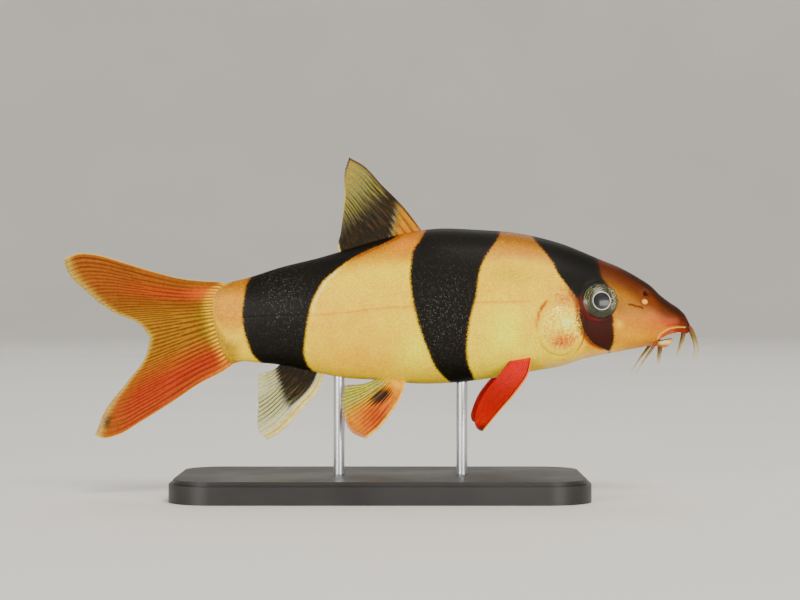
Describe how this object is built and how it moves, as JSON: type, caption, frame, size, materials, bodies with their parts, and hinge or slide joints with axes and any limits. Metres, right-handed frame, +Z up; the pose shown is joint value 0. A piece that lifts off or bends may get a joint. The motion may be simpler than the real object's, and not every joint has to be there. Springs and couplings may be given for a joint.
{
  "type": "clown loach",
  "caption": "Life-size clown loach model: a banded fish with rayed fins, gill covers, eyes and mouth barbels, held over a flat display base by short rods.",
  "frame": {"origin": "middle of the whole part's outline on the floor, at the underside of the stand's base", "axes": "+X towards the fish's snout, +Y to the fish's left, +Z up"},
  "size_m": [0.1142, 0.038, 0.061],
  "materials": {
    "skin": "satin wet skin, gold with three black bands",
    "gill_cover": "glittering gold",
    "eye": "wet gloss",
    "red_fin": "thin rayed membrane, red to orange",
    "dark_fin": "thin rayed membrane, black and clear",
    "barbel": "soft, partly clear",
    "stand_base": "satin black",
    "stand_rod": "brushed"
  },
  "bodies": {
    "root": {"head": "skin", "torso": "skin", "tail": "skin", "gill_cover_left": "gill_cover", "gill_cover_right": "gill_cover", "eye_left": "eye", "eye_right": "eye", "dorsal_fin": "dark_fin", "anal_fin": "dark_fin", "caudal_fin_upper": "red_fin", "caudal_fin_lower": "red_fin", "pelvic_fin_left": "red_fin", "pelvic_fin_right": "red_fin", "pectoral_fin_left": "red_fin", "pectoral_fin_right": "red_fin", "barbel_rostral_outer_left": "barbel", "barbel_rostral_outer_right": "barbel", "barbel_rostral_inner_left": "barbel", "barbel_rostral_inner_right": "barbel", "barbel_maxillary_left": "barbel", "barbel_maxillary_right": "barbel", "barbel_mandibular_left": "barbel", "barbel_mandibular_right": "barbel", "stand_base": "stand_base", "stand_rod_front": "stand_rod", "stand_rod_rear": "stand_rod"}
  },
  "joints": []
}
